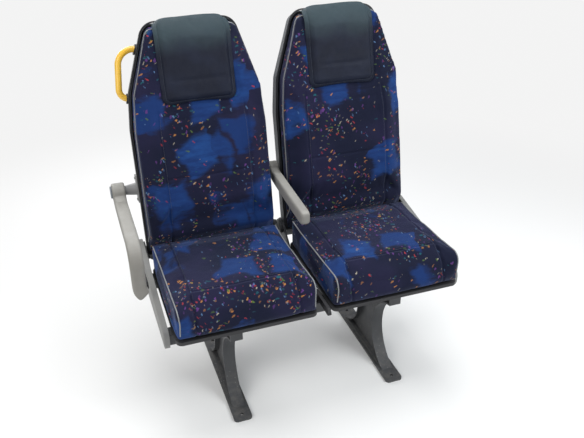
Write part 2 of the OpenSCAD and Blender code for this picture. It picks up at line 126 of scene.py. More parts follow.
class Value:
    """A socket of a finish. Arithmetic on it adds the finish's Math nodes."""

    def __init__(self, finish, socket):
        self.finish = finish
        self.socket = socket

    def maths(self, operation, *others):
        return self.finish.node("ShaderNodeMath", dict(enumerate((self, *others))), operation=operation)

    __add__ = __radd__ = lambda self, other: self.maths("ADD", other)
    __mul__ = __rmul__ = lambda self, other: self.maths("MULTIPLY", other)
    __sub__ = lambda self, other: self.maths("SUBTRACT", other)
    __rsub__ = lambda self, other: self * -1 + other
    __gt__ = lambda self, other: self.maths("GREATER_THAN", other)
    __lt__ = lambda self, other: self.maths("LESS_THAN", other)

    def ease(self, low, high, start=0.0, end=1.0):
        """Goes smoothly from start to end as the value goes from low to high."""
        inputs = {0: self, 1: low, 2: high, 3: start, 4: end}
        return self.finish.node("ShaderNodeMapRange", inputs, interpolation_type="SMOOTHSTEP")

    def waves(self, length):
        """Waves between 0 and 1, one for each length of the value."""
        return (self * (2 * math.pi / length)).maths("SINE") * 0.5 + 0.5


class Finish:
    """A material, or the world, while its nodes are put together."""

    def __init__(self, name, library="materials", shader="Principled BSDF"):
        self.material = getattr(bpy.data, library).new(name)
        self.material.use_nodes = True
        self.tree = self.material.node_tree
        self.shader = self.tree.nodes[shader]
        self.place = self.node("ShaderNodeTexCoord", output="Object")

    def fill(self, socket, value):
        """Links a socket to a value, or sets it to a constant."""
        if isinstance(value, Value):
            self.tree.links.new(value.socket, socket)
        elif socket.type == "RGBA":
            socket.default_value = (*value, 1)
        else:
            socket.default_value = value

    def node(self, kind, inputs=None, output=0, **settings):
        """Adds a node and gives one of its outputs."""
        made = self.tree.nodes.new(kind)
        for key, value in settings.items():
            setattr(made, key, value)
        for key, value in (inputs or {}).items():
            self.fill(made.inputs[key], value)
        return Value(self, made.outputs[output])

    def set(self, **sockets):
        """Sets the shader's sockets, named in lower case, and gives the material."""
        for name, value in sockets.items():
            self.fill(self.shader.inputs[name.replace("_", " ").title().replace("Ior", "IOR")], value)
        return self.material

    def cover(self, over, share):
        """Covers the finish's own shader with another one where share is 1."""
        own = Value(self, self.shader.outputs[0])
        blend = self.node("ShaderNodeMixShader", {0: share, 1: own, 2: over})
        output = next(node for node in self.tree.nodes if node.type.startswith("OUTPUT"))
        self.tree.links.new(blend.socket, output.inputs["Surface"])

    def turned(self, turn=(0, 0, 0), stretch=(1, 1, 1), shift=(0, 0, 0), place=None):
        """The place on the piece, shifted, turned and stretched."""
        inputs = {"Vector": place or self.place, "Location": shift, "Rotation": turn, "Scale": stretch}
        return self.node("ShaderNodeMapping", inputs)

    def clouds(self, scale, detail=2.0, rough=0.5, place=None, output="Fac"):
        inputs = {"Vector": place or self.place, "Scale": scale, "Detail": detail, "Roughness": rough}
        return self.node("ShaderNodeTexNoise", inputs, output)

    def strayed(self, scale, reach, place):
        """A place that strays by up to a reach, in clouds."""
        wander = self.clouds(scale, place=place, output="Color")
        inputs = {0: wander, 1: (reach, reach, reach), 2: place}
        return self.node("ShaderNodeVectorMath", inputs, operation="MULTIPLY_ADD")

    def cells(self, scale, output="Distance", metric="EUCLIDEAN", feature="F1", place=None, spread=1.0):
        inputs = {"Vector": place or self.place, "Scale": scale, "Randomness": spread}
        return self.node("ShaderNodeTexVoronoi", inputs, output, feature=feature, distance=metric)

    def parts(self, vector):
        split = self.node("ShaderNodeSeparateXYZ", {0: vector}).socket.node
        return [Value(self, socket) for socket in split.outputs]

    def mix(self, under, over, share):
        """The colour under, covered by the colour over where share is 1."""
        inputs = {0: share, 6: under, 7: over}
        return self.node("ShaderNodeMix", inputs, 2, data_type="RGBA", clamp_factor=True)

    def relief(self, height, depth, strength=1.0, under=None):
        inputs = {"Height": height, "Distance": depth, "Strength": strength}
        if under is not None:
            inputs["Normal"] = under
        return self.node("ShaderNodeBump", inputs, "Normal")


def moquette():
    """Cut-pile seat cloth: near-black navy with brushed blue patches and drifts of confetti strokes."""
    cloth = Finish("navy moquette")
    weave = 0.0014
    woven = cloth.node("ShaderNodeVectorMath", {0: cloth.place, 1: (weave, weave, weave)}, operation="SNAP")
    drift = cloth.clouds(5.0, 2, place=woven)
    body = cloth.mix((0.0045, 0.0065, 0.022), (0.010, 0.010, 0.034), drift.ease(0.4, 0.65))

    # Squarish blue patches, brushed thin toward their edges
    squares = cloth.turned((0.12, 0.25, 0.3), (1, 1, 0.85), place=cloth.strayed(9.0, 0.10, woven))
    reach = cloth.cells(7.2, metric="CHEBYCHEV", place=squares, spread=0.85)
    kind = cloth.parts(cloth.cells(7.2, "Color", "CHEBYCHEV", place=squares, spread=0.85))
    brush = cloth.clouds(34, 4, 0.65, place=cloth.turned(stretch=(0.4, 1, 1.5), place=woven))
    patch = (reach + brush * 0.34).ease(0.46, 0.60, 1, 0) * (kind[0] > 0.36)
    blue = cloth.mix((0.006, 0.026, 0.115), (0.010, 0.050, 0.19), kind[1] * brush.ease(0.35, 0.65))
    body = cloth.mix(body, blue, patch)

    # Confetti: short strokes that lean several ways, gathered in drifts, few of them on the blue
    gather = cloth.clouds(6.0, 2, place=cloth.turned(shift=(3.1, 1.2, 0.4), place=woven)).ease(0.40, 0.62)
    strokes = [
        (0.55, 2.6, (0.36, 0.155, 0.045), 0.66, 37, (0.2, 0.4, 0.1)),
        (-0.8, 2.9, (0.30, 0.03, 0.035), 0.40, 41, (0.7, 0.1, 0.5)),
        (1.2, 2.4, (0.10, 0.035, 0.17), 0.60, 35, (1.3, 0.9, 0.2)),
        (-0.3, 2.7, (0.075, 0.13, 0.03), 0.24, 43, (0.4, 1.7, 1.1)),
        (0.95, 3.1, (0.33, 0.30, 0.24), 0.28, 50, (2.1, 0.3, 0.8)),
        (-1.1, 2.4, (0.08, 0.16, 0.30), 0.36, 45, (0.9, 2.2, 1.6)),
        (0.1, 2.7, (0.010, 0.08, 0.105), 0.40, 39, (1.9, 1.1, 2.7)),
    ]
    curled = cloth.strayed(95.0, 0.011, woven)
    for lean, length, color, share, scale, shift in strokes:
        leant = cloth.turned(turn=(0, lean, 0), place=curled)
        laid = cloth.turned(stretch=(1.0, 1.2, length), shift=shift, place=leant)
        near = cloth.cells(scale, place=laid)
        lot = cloth.parts(cloth.cells(scale, "Color", place=laid))
        chance = gather * (0.85 - patch * 0.65) * share + 0.02
        fleck = (near < 0.18 + lot[1] * 0.09) * (chance > lot[0])
        body = cloth.mix(body, color, fleck * lot[2].ease(0, 1, 0.35, 0.95))

    wear = cloth.clouds(3.1, 3)
    body = cloth.mix(body, (0.04, 0.045, 0.06), wear.ease(0.5, 0.8, 0, 0.10))
    ribs = cloth.parts(cloth.place)[0].waves(0.0021)
    pile = cloth.clouds(1300, 2, 0.6)
    height = ribs * 0.45 + pile * 0.55
    return cloth.set(
        base_color=body,
        roughness=pile.ease(0.2, 0.8, 0.82, 0.97),
        sheen_weight=0.22,
        sheen_roughness=0.4,
        sheen_tint=(0.45, 0.55, 0.9),
        specular_ior_level=0.2,
        normal=cloth.relief(height, 0.0009, 0.55, cloth.relief(cloth.clouds(34, 3), 0.004, 0.22)),
    )


def leatherette():
    """Smooth dark navy coated cloth of the headrest panels, with a painted sheen that makes their top greyer.
    """
    skin = Finish("navy leatherette")
    # Painted sheen: by height alone, the colour turns teal-grey toward the top of the panels
    wear_and_sheen = (skin.parts(skin.place)[2] + skin.clouds(9, 3) * 0.06).ease(1.085, 1.170)
    tone = skin.mix((0.0036, 0.0058, 0.0160), (0.0065, 0.0100, 0.0245), skin.clouds(14, 3).ease(0.35, 0.65))
    tone = skin.mix(tone, (0.036, 0.060, 0.069), wear_and_sheen * 0.75)
    pores = skin.cells(1150, feature="DISTANCE_TO_EDGE")
    soft = skin.clouds(46, 3, 0.6)
    folds = skin.clouds(11, 2, place=skin.turned(stretch=(0.5, 1, 1.4)))
    slack = skin.relief(folds * 0.7 + soft * 0.3, 0.006, 0.3)
    return skin.set(
        base_color=tone,
        roughness=soft.ease(0.3, 0.7, 0.44, 0.58) + wear_and_sheen * 0.05,
        specular_ior_level=0.22,
        normal=skin.relief(pores.ease(0.0, 0.25), 0.00022, 0.6, slack),
    )


def grained_plastic(name, dark, light, grain=820, roughness=0.55, scuffs=0.12, gloss=0.4):
    """Moulded plastic with a fine leather grain, faint blotches and paler worn scuffs."""
    plastic = Finish(name)
    blotch = plastic.clouds(7, 4, 0.6)
    tone = plastic.mix(dark, light, blotch.ease(0.35, 0.7))
    scratch = plastic.clouds(52, 4, 0.7, place=plastic.turned((0.3, 0.8, 0.5), (0.2, 1.7, 1)))
    wear_and_sheen = scratch.ease(0.62, 0.72)
    paler = tuple(min(1.0, c * 1.35 + 0.02) for c in light)
    tone = plastic.mix(tone, paler, wear_and_sheen * scuffs)
    bumps = plastic.cells(grain)
    return plastic.set(
        base_color=tone,
        roughness=blotch.ease(0.3, 0.7, roughness - 0.05, roughness + 0.06) - wear_and_sheen * 0.08,
        specular_ior_level=gloss,
        normal=plastic.relief(bumps, 0.00028, 0.45, plastic.relief(plastic.clouds(21, 2), 0.0015, 0.12)),
    )


def powder_coat():
    """Dark grey powder coat on the steel frame, dusty and knocked pale near the floor."""
    coat = Finish("grey powder coat")
    low = (coat.parts(coat.place)[2] + coat.clouds(18, 3) * 0.05).ease(0.03, 0.17, 1, 0)
    chips = (coat.cells(95) < 0.2) * (coat.clouds(24, 2) > 0.57)
    tone = coat.mix((0.036, 0.038, 0.042), (0.05, 0.052, 0.056), coat.clouds(6, 3).ease(0.35, 0.65))
    tone = coat.mix(tone, (0.15, 0.14, 0.125), low * coat.clouds(60, 4, 0.7).ease(0.35, 0.75) * 0.45)
    tone = coat.mix(tone, (0.24, 0.24, 0.24), chips * low * 0.8)
    peel = coat.clouds(520, 2)
    return coat.set(
        base_color=tone,
        roughness=coat.clouds(30, 3).ease(0.3, 0.7, 0.42, 0.56) + low * 0.15,
        metallic=chips * low * 0.8,
        normal=coat.relief(peel, 0.0004, 0.35),
    )


def yellow_coat():
    """Smooth yellow plastic coat on the grab handle, slightly soiled where hands hold it."""
    coat = Finish("yellow handle coat")
    soil = coat.clouds(32, 4, 0.6)
    tone = coat.mix((0.76, 0.44, 0.035), (0.82, 0.50, 0.06), coat.clouds(12, 2).ease(0.3, 0.7))
    tone = coat.mix(tone, (0.36, 0.20, 0.03), soil.ease(0.58, 0.75) * 0.35)
    return coat.set(
        base_color=tone,
        roughness=soil.ease(0.3, 0.75, 0.26, 0.42),
        coat_weight=0.25,
        coat_roughness=0.2,
        normal=coat.relief(coat.clouds(150, 2), 0.0006, 0.2),
    )


def armrest_skin():
    """Grey-beige skin of the armrests: fine grain, a painted paler top where light falls, and smoother where
    worn.
    """
    skin = Finish("armrest skin")
    up = skin.parts(skin.node("ShaderNodeTexCoord", output="Normal"))[2]
    # Painted top light: faces turned up are painted paler, in patches; the same mask also makes them
    # smoother, like wear
    top_light_and_wear = up.ease(0.2, 0.95) * skin.clouds(16, 3).ease(0.3, 0.7, 0.5, 1)
    tone = skin.mix((0.215, 0.205, 0.185), (0.25, 0.242, 0.222), skin.clouds(9, 4).ease(0.35, 0.65))
    tone = skin.mix(tone, (0.36, 0.355, 0.33), top_light_and_wear * 0.6)
    tone = skin.mix(tone, (0.09, 0.085, 0.08), skin.clouds(45, 5, 0.7).ease(0.62, 0.8) * 0.35)
    grain = skin.cells(760, feature="DISTANCE_TO_EDGE")
    return skin.set(
        base_color=tone,
        roughness=skin.clouds(25, 3).ease(0.3, 0.7, 0.5, 0.62) - top_light_and_wear * 0.1,
        specular_ior_level=0.4,
        normal=skin.relief(grain.ease(0, 0.2), 0.0002, 0.4, skin.relief(skin.clouds(30, 2), 0.002, 0.15)),
    )


def thread(name, tone, twist=0.0016):
    """Wound cord or thread: tight slanting turns."""
    yarn = Finish(name)
    x, y, z = yarn.parts(yarn.place)
    turns = (x + y * 0.7 + z).waves(twist)
    fuzz = yarn.clouds(900, 2)
    return yarn.set(
        # Painted shade: the colour is darker in the grooves between the turns, where the relief is low
        base_color=yarn.mix(tuple(c * 0.6 for c in tone), tone, turns * 0.6 + fuzz * 0.5),
        roughness=fuzz.ease(0.3, 0.7, 0.7, 0.85),
        normal=yarn.relief(turns, 0.0004, 0.5),
    )


def pocket_net():
    """Black elastic net: slanting strands from the sheet's own map, open between them."""
    net = Finish("black elastic net")
    u, v, _ = net.parts(net.node("ShaderNodeUVMap", uv_map="UVMap"))
    across = ((u + v).maths("FRACT") - 0.5).maths("ABSOLUTE")
    along = ((u - v + 100).maths("FRACT") - 0.5).maths("ABSOLUTE")
    strand = across.maths("MAXIMUM", along)
    return net.set(
        base_color=net.mix((0.012, 0.012, 0.014), (0.035, 0.035, 0.04), net.clouds(700, 2)),
        roughness=0.8,
        alpha=strand.ease(0.36, 0.40),
        normal=net.relief(strand, 0.001, 0.6),
    )


# Modelling by hand


def lay_down_tools():
    """Leaves edit mode and selects nothing."""
    if bpy.context.object is not None and bpy.context.object.mode != "OBJECT":
        bpy.ops.object.mode_set(mode="OBJECT")
    bpy.ops.object.select_all(action="DESELECT")


def take_up(piece):
    """Selects one piece and makes it the active one."""
    lay_down_tools()
    piece.select_set(True)
    bpy.context.view_layer.objects.active = piece


def fix_place():
    """Fixes the selected piece's place, turn and size in its mesh."""
    bpy.ops.object.transform_apply(location=True, rotation=True, scale=True)


def settle(piece, name, body, finish, bend=None, smooth=35):
    """Names a finished piece, fixes its place in its mesh, and gives it its body, finish and slot."""
    take_up(piece)
    fix_place()
    if bend is not None:
        piece.data.transform(bend)
    if smooth is None:
        bpy.ops.object.shade_smooth()
    else:
        bpy.ops.object.shade_smooth_by_angle(angle=math.radians(smooth))
    piece.name = name
    piece.data.name = name
    piece.data.materials.clear()
    piece.data.materials.append(finish)
    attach(piece, body)
    return piece


def settle_on_back(piece, side, name, finish, smooth=35):
    """Settles a piece that was made in the frame of one side's backrest."""
    return settle(piece, f"{side}_{name}", f"{side}_back", finish, back_frame(side), smooth)


@contextmanager
def editing(piece):
    """Edit mode on a piece, with all of it selected."""
    take_up(piece)
    bpy.ops.object.mode_set(mode="EDIT")
    bpy.ops.mesh.select_all(action="SELECT")
    yield
    bpy.ops.object.mode_set(mode="OBJECT")


def turn_outward():
    """In edit mode, turns every face's normal outward."""
    bpy.ops.mesh.select_all(action="SELECT")
    bpy.ops.mesh.normals_make_consistent(inside=False)


def pick(piece, what, test):
    """In edit mode, selects only those faces or vertices whose middle and normal pass the test."""
    bpy.ops.mesh.select_mode(type={"faces": "FACE", "verts": "VERT"}[what])
    bpy.ops.mesh.select_all(action="DESELECT")
    shape = bmesh.from_edit_mesh(piece.data)
    for element in getattr(shape, what):
        middle = element.co if what == "verts" else element.calc_center_median()
        if test(middle, element.normal):
            element.select_set(True)
    shape.select_flush(True)
    bmesh.update_edit_mesh(piece.data)


def inset_rings(piece, test, rings):
    """Insets the faces that pass the test, ring in ring, by a width and a depth for each."""
    with editing(piece):
        pick(piece, "faces", test)
        for width, depth in rings:
            bpy.ops.mesh.inset(thickness=width, depth=depth)


def fit_modifier(piece, kind, **settings):
    """Adds a modifier and applies it."""
    take_up(piece)
    modifier = piece.modifiers.new(kind.title(), kind)
    for key, value in settings.items():
        setattr(modifier, key, value)
    bpy.ops.object.modifier_apply(modifier=modifier.name)


def soften(piece, width, segments, degrees):
    """Rounds the edges where a piece turns by more than an angle."""
    limit = math.radians(degrees)
    fit_modifier(piece, "BEVEL", width=width, segments=segments, limit_method="ANGLE", angle_limit=limit)


def primitive(add, **settings):
    """A new primitive, its place fixed in its mesh."""
    lay_down_tools()
    add(**settings)
    fix_place()
    return bpy.context.object


def copy_of(piece, place=None):
    """A copy with a mesh of its own, moved by a matrix."""
    twin = bpy.data.objects.new(piece.name, piece.data.copy())
    bpy.context.scene.collection.objects.link(twin)
    if place is not None:
        twin.data.transform(place)
    return twin


def cord_along(points, radius, sides=2):
    """A round cord that follows a line of points."""
    lay_down_tools()
    bpy.ops.curve.primitive_nurbs_path_add()
    piece = bpy.context.object
    line = piece.data.splines[0]
    line.type = "POLY"
    line.points.add(len(points) - len(line.points))
    for knot, point in zip(line.points, points):
        knot.co = (*point, 1)
    piece.data.bevel_depth = radius
    piece.data.bevel_resolution = sides
    piece.data.use_fill_caps = True
    bpy.ops.object.convert(target="MESH")
    return bpy.context.object


def drawn(middle, width, height, corner, path):
    """A round-cornered section facing forward, drawn along straight and bent lengths like a moulding."""
    lay_down_tools()
    bpy.ops.mesh.primitive_plane_add(size=1, location=middle, rotation=(math.pi / 2, 0, 0))
    piece = bpy.context.object
    piece.scale = (width, height, 1)
    fix_place()
    with editing(piece):
        bpy.ops.mesh.bevel(offset=corner, segments=5, affect="VERTICES")
        bpy.ops.mesh.select_all(action="SELECT")
        at = Vector(middle)
        for kind, *amount in path:
            if kind == "draw":
                step, size = amount
                at = at + Vector(step)
                bpy.ops.mesh.extrude_region_move(TRANSFORM_OT_translate={"value": step})
                bpy.ops.transform.resize(value=size, center_override=at)
            else:
                centre, axis, angle, steps = amount
                # Without a window, spin turns the other way
                bpy.ops.mesh.spin(steps=steps, angle=-math.radians(angle), center=centre, axis=axis)
                turn = Matrix.Rotation(math.radians(angle), 3, Vector(axis))
                at = turn @ (at - Vector(centre)) + Vector(centre)
        turn_outward()
    return piece


def turned_disc(place, radius, depth, edge, turn=(0, math.pi / 2, 0), sides=40):
    """A short round part with softened rims, its axis along x unless turned."""
    size = {"vertices": sides, "radius": radius, "depth": depth}
    piece = primitive(bpy.ops.mesh.primitive_cylinder_add, location=place, rotation=turn, **size)
    soften(piece, width=edge, segments=4, degrees=50)
    return piece


def joined(pieces):
    """Several pieces made one."""
    lay_down_tools()
    for piece in pieces:
        piece.select_set(True)
    bpy.context.view_layer.objects.active = pieces[0]
    bpy.ops.object.join()
    return bpy.context.object


# Shape of the backrest, seen from the front: circles of one half, and its outline
BACK_CIRCLES = [(0.19, -0.017, 0.03), (0.18, 0.40, 0.04), (0.15, 0.51, 0.06), (0.105, 0.682, 0.05)]


def wrap_line(circles, steps):
    """Evenly spaced points, with their outward directions, round a band drawn tight about circles."""
    band = []
    for i in range(720):
        turn = math.radians(-90 - i / 2)
        way = Vector((math.cos(turn), math.sin(turn)))
        a, b, radius = max(circles, key=lambda c: c[0] * way.x + c[1] * way.y + c[2])
        band.append((Vector((a, b)) + way * radius, way))
    band.append(band[0])
    lengths = [0.0]
    for (a, _), (b, _) in zip(band, band[1:]):
        lengths.append(lengths[-1] + (b - a).length)
    line, at = [], 0
    for i in range(steps):
        want = lengths[-1] * i / steps
        while lengths[at + 1] < want:
            at += 1
        share = (want - lengths[at]) / max(1e-9, lengths[at + 1] - lengths[at])
        way = band[at][1].lerp(band[at + 1][1], share).normalized()
        line.append((band[at][0].lerp(band[at + 1][0], share), way))
    return line


def back_edge(steps=240):
    """The backrest's outline from the front, from its foot's left over the top, with outward directions."""
    return wrap_line([(s * x, h, r) for x, h, r in BACK_CIRCLES for s in (-1, 1)], steps)


def surface_of(piece, place=None):
    """A piece's closed surface, moved by a matrix, to measure from and to lay things on."""
    shape = bmesh.new()
    shape.from_mesh(piece.data)
    if place is not None:
        bmesh.ops.transform(shape, matrix=place, verts=shape.verts)
    tree = BVHTree.FromBMesh(shape)
    shape.free()
    return tree


def laid_on(tree, starts, way, sink):
    """Points where lines from the starts meet a surface, sunk into it, and evened out along the row."""
    row = []
    for start, back in zip(starts, way):
        hit, normal, _, _ = tree.ray_cast(start, back)
        if hit is not None:
            row.append(hit - normal * sink)
    evened = [row[0]]
    for before, here, after in zip(row, row[1:], row[2:]):
        evened.append(before * 0.25 + here * 0.5 + after * 0.25)
    return evened + [row[-1]]


def row_of(piece, places):
    """One mesh of copies of a small piece, one at each place."""
    take_up(piece)
    fix_place()
    shape = bmesh.new()
    for place in places:
        start = len(shape.verts)
        shape.from_mesh(piece.data)
        shape.verts.ensure_lookup_table()
        bmesh.ops.transform(shape, matrix=place, verts=shape.verts[start:])
    shape.to_mesh(piece.data)
    shape.free()
    return piece


def facing(place, normal, along):
    """A place whose z points along a normal, and whose x lies as near as it can to a direction."""
    z = Vector(normal).normalized()
    y = z.cross(Vector(along)).normalized()
    x = y.cross(z)
    turn = Matrix((x, y, z)).transposed().to_4x4()
    return Matrix.Translation(place) @ turn


# Soft parts


def swollen(node, to_flat, voxel, shrink, pressure, reach, held):
    """A soft solid's copy, remeshed and puffed up by cloth pressure, in its own flat frame.

    reach gives how far a point may move, from its place; held says which points stay put."""
    lay_down_tools()
    piece = copy_of(nodes[node], to_flat)
    with editing(piece):
        bpy.ops.mesh.remove_doubles(threshold=0.0001)
        bpy.ops.mesh.normals_make_consistent(inside=False)
        bpy.ops.transform.shrink_fatten(value=-shrink)
    fit_modifier(piece, "REMESH", mode="VOXEL", voxel_size=voxel)
    fit_modifier(piece, "SMOOTH", factor=0.5, iterations=4)
    before = [v.co.copy() for v in piece.data.vertices]
    take_up(piece)
    group = piece.vertex_groups.new(name="held")
    group.add([i for i, co in enumerate(before) if held(co)], 1.0, "REPLACE")
    cloth = piece.modifiers.new("Cloth", "CLOTH")
    settings = cloth.settings
    settings.quality = 4
    settings.use_pressure = True
    settings.uniform_pressure_force = pressure
    settings.effector_weights.gravity = 0
    settings.vertex_group_mass = "held"
    settings.tension_stiffness = settings.compression_stiffness = 12
    settings.bending_stiffness = 1.0
    for number in range(1, 21):
        bpy.context.scene.frame_set(number)
    bpy.ops.object.modifier_apply(modifier=cloth.name)
    bpy.context.scene.frame_set(1)
    for vertex, co in zip(piece.data.vertices, before):
        step = vertex.co - co
        most = reach(co)
        if step.length > most:
            vertex.co = co + step * (most / step.length)
    fit_modifier(piece, "SMOOTH", factor=0.5, iterations=3)
    fit_modifier(piece, "SUBSURF", levels=1, render_levels=1)
    return piece


def press(piece, amount):
    """Moves each point along its normal by an amount that its place and normal give."""
    shape = bmesh.new()
    shape.from_mesh(piece.data)
    shape.normal_update()
    moves = [v.normal * amount(v.co, v.normal) for v in shape.verts]
    for vertex, move in zip(shape.verts, moves):
        vertex.co += move
    shape.to_mesh(piece.data)
    shape.free()


def groove(distance, width):
    """Depth of a sewn seam's groove, from 1 on the seam to 0 beyond its width."""
    return math.exp(-((distance / width) ** 2))


def rise(value, low, high):
    """Goes smoothly from 0 to 1 as the value goes from low to high."""
    share = min(1.0, max(0.0, (value - low) / (high - low)))
    return share * share * (3 - 2 * share)


def ripple(co, scale, seed=0.0):
    """Soft uneven waves, between about -1 and 1."""
    return noise.noise(Vector((co.x * scale + seed, co.y * scale, co.z * scale - seed)))


def panel_edge(x, h):
    """Distance inside the headrest panel's edge, seen from the front; negative outside."""
    x = abs(x)
    if x > CORNER_X and h < CORNER_H:
        return PANEL_CORNER - math.hypot(x - CORNER_X, CORNER_H - h)
    return min(PANEL_HALF - x, h - PANEL_FOOT)


def bolster_seam(height):
    """Distance of a backrest's side seams from its middle."""
    return 0.142 - 0.020 * rise(height, 0.40, 0.62)


def back_pad_shape(co, normal):
    """Side bolsters, their seams, the folds under the headrest and the pull of the cloth."""
    front = rise(-normal.y, 0.25, 0.75)
    x, h = abs(co.x), co.z
    seam_x = bolster_seam(h)
    depth = 0.0055 * rise(seam_x - x, -0.004, 0.03) * rise(h, 0.10, 0.2) * (1 - rise(h, 0.40, 0.5))
    line = 0.0042 * groove(x - seam_x, 0.0038) * (1 - rise(h, 0.455, 0.49))
    folds = 0.0022 * groove(h - 0.462 - 0.06 * x * x, 0.004) * (1 - rise(x, 0.10, 0.15))
    folds += 0.0015 * groove(h - 0.438 + 0.10 * x * x, 0.005) * (1 - rise(x, 0.07, 0.14))
    panel = 0.0030 * groove(h - 0.252 - 0.02 * x, 0.0035) * (1 - rise(x, seam_x - 0.01, seam_x))
    beside = -panel_edge(co.x, h)
    strip = 0.0045 * rise(beside, 0.002, 0.022) * rise(h, 0.43, 0.5)
    cloth = 0.0011 * ripple(co, 14) + 0.0005 * ripple(co, 42, 3.1)
    return front * (strip - depth - line - folds - panel) + cloth * (0.4 + 0.6 * front)


def cushion_shape(co, normal):
    """Seams at the cushion's sides and across behind its front roll, and the hollow where people sit."""
    top = rise(normal.z, 0.2, 0.7)
    forward = rise(-normal.y, 0.3, 0.8)
    x, y = abs(co.x), co.y
    seam = 0.0045 * groove(x - CUSHION_SEAM, 0.0038)
    across = 0.0040 * groove(y - FRONT_SEAM, 0.0042) * (1 - rise(x, 0.15, 0.16))
    hollow = 0.0050 * math.exp(-((x / 0.13) ** 2) - ((y - 0.02) / 0.14) ** 2)
    cloth = 0.0012 * ripple(co, 13, 1.7) + 0.0005 * ripple(co, 40, 5.2)
    return -top * (seam + across + hollow) - forward * seam * 0.8 + cloth


def head_pad_shape(co, normal):
    """A stitched border and a few soft creases on the headrest panel."""
    outward = rise(-normal.y + max(0.0, normal.z), 0.3, 0.8)
    border = 0.0016 * groove(panel_edge(co.x, co.z) - BORDER, 0.0028)
    creases = 0.0012 * groove(co.z - 0.555 - 0.25 * co.x * co.x, 0.007) * (1 - rise(abs(co.x), 0.06, 0.1))
    cloth = 0.0012 * ripple(co, 12, 8.3) + 0.0005 * ripple(co, 34, 2.4)
    return outward * (cloth - border - creases)


def make_back_pads(cloth, yarn):
    """The backs' covers; they lie under the headrest panels and rise as soft strips beside them."""
    def reach(co):
        free = rise(co.z, 0.0, 0.12) * (1 - rise(abs(co.x), 0.15, 0.215))
        return 0.006 + 0.016 * free * (1 - rise(co.z, 0.40, 0.50))

    flat = back_frame("aisle").inverted()
    core = surface_of(nodes["aisle_back_pad"], flat)
    pad = swollen(
        "aisle_back_pad", flat, voxel=0.0062, shrink=0.006, pressure=4.0,
        reach=reach, held=lambda co: co.y > PAD_SEAM - 0.008,
    )
    half = 0.2205
    for vertex in pad.data.vertices:
        co = vertex.co
        co.x = max(-half, min(half, co.x))
        co.y = min(PAD_SEAM, co.y)
        inside = rise(panel_edge(co.x, co.z), -0.006, 0.004)
        if inside > 0 and co.y < PAD_SEAM - 0.001:
            near, normal, _, _ = core.find_nearest(co)
            proud = (co - near).dot(normal)
            most = 0.0055 * (1 - inside) - 0.0015 * inside
            if proud > most:
                vertex.co = co - normal * (proud - most)
        foot = (1 - rise(co.z, 0.080, 0.125)) * (1 - rise(abs(co.x), 0.18, 0.21))
        foot *= 1 - rise(co.y, -0.04, -0.025)
        if foot > 0:
            front = core.ray_cast(Vector((co.x, -0.5, max(-0.01, co.z))), Vector((0, 1, 0)))[0]
            if front is not None:
                vertex.co.y += foot * (front.y - co.y)
    press(pad, back_pad_shape)
    cover = surface_of(pad)
    places = []
    for s in (-1, 1):
        heights = [0.10 + STITCH_STEP * i for i in range(78)]
        starts = [Vector((s * (bolster_seam(height) - STITCH_OFF), -0.2, height)) for height in heights]
        places += stitch_places(cover, starts, (0, 1, 0))
    for side, piece in (("aisle", pad), ("window", copy_of(pad))):
        settle_on_back(piece, side, "back_cover", cloth, None)
        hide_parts(f"{side}_back_pad")
        stitch = row_of(one_stitch(length=0.0031, radius=0.0006), places)
        settle_on_back(stitch, side, "back_stitches", yarn)
    return cover


def stitch_places(cover, starts, way):
    """Places for stitches in a row: where lines from the starts meet a cover, each turned along the row."""
    seam = laid_on(cover, starts, [Vector(way)] * len(starts), 0.0)
    places = []
    for before, here, after in zip(seam, seam[1:], seam[2:]):
        _, normal, _, _ = cover.find_nearest(here)
        places.append(facing(here + normal * 0.0001, normal, after - before))
    return places


def make_head_pads(skin, yarn):
    """Headrest panels: full in the middle, thin where they are sewn in, with a stitched border."""
    flat = back_frame("aisle").inverted()

    def held(co):
        return co.z < 0.715 and co.y > -0.086 + 0.012 * co.z

    core = surface_of(nodes["aisle_back_pad"], flat)
    pad = swollen(
        "aisle_head_pad", flat, voxel=0.0034, shrink=0.0008, pressure=3.0,
        reach=lambda co: 0.006, held=held,
    )
    for vertex in pad.data.vertices:
        co = vertex.co
        near, normal, _, _ = core.find_nearest(co)
        proud = (co - near).dot(normal)
        depth = panel_edge(co.x, co.z)
        if co.z > 0.69:
            depth = min(depth, PAD_SEAM + 0.004 - co.y)
        vertex.co = near + normal * proud * (0.22 + 0.78 * rise(depth, -0.002, 0.030))
        co.z -= 0.007 * rise(abs(co.x), 0.075, 0.122) * rise(co.z, 0.66, 0.735)
    fit_modifier(pad, "SMOOTH", factor=0.6, iterations=8)
    press(pad, head_pad_shape)
    panel = surface_of(pad)
    starts = []
    radius = PANEL_CORNER - BORDER
    corner = CORNER_X + radius * math.pi / 2
    for i in range(-118, 119):
        run = i * 0.004
        if abs(run) < CORNER_X:
            x, h = run, PANEL_FOOT + BORDER
        elif abs(run) < corner:
            turn = (abs(run) - CORNER_X) / radius
            x = math.copysign(CORNER_X + radius * math.sin(turn), run)
            h = PANEL_FOOT + BORDER + radius * (1 - math.cos(turn))
        else:
            x, h = math.copysign(PANEL_HALF - BORDER, run), CORNER_H + abs(run) - corner
        if h < 0.70:
            starts.append(Vector((x, -0.2, h)))
    places = stitch_places(panel, starts, (0, 1, 0))
    for side, piece in (("aisle", pad), ("window", copy_of(pad))):
        settle_on_back(piece, side, "head_cover", skin, None)
        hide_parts(f"{side}_head_pad")
        stitch = row_of(one_stitch(length=0.0029, radius=0.00065), places)
        settle_on_back(stitch, side, "head_stitches", yarn)


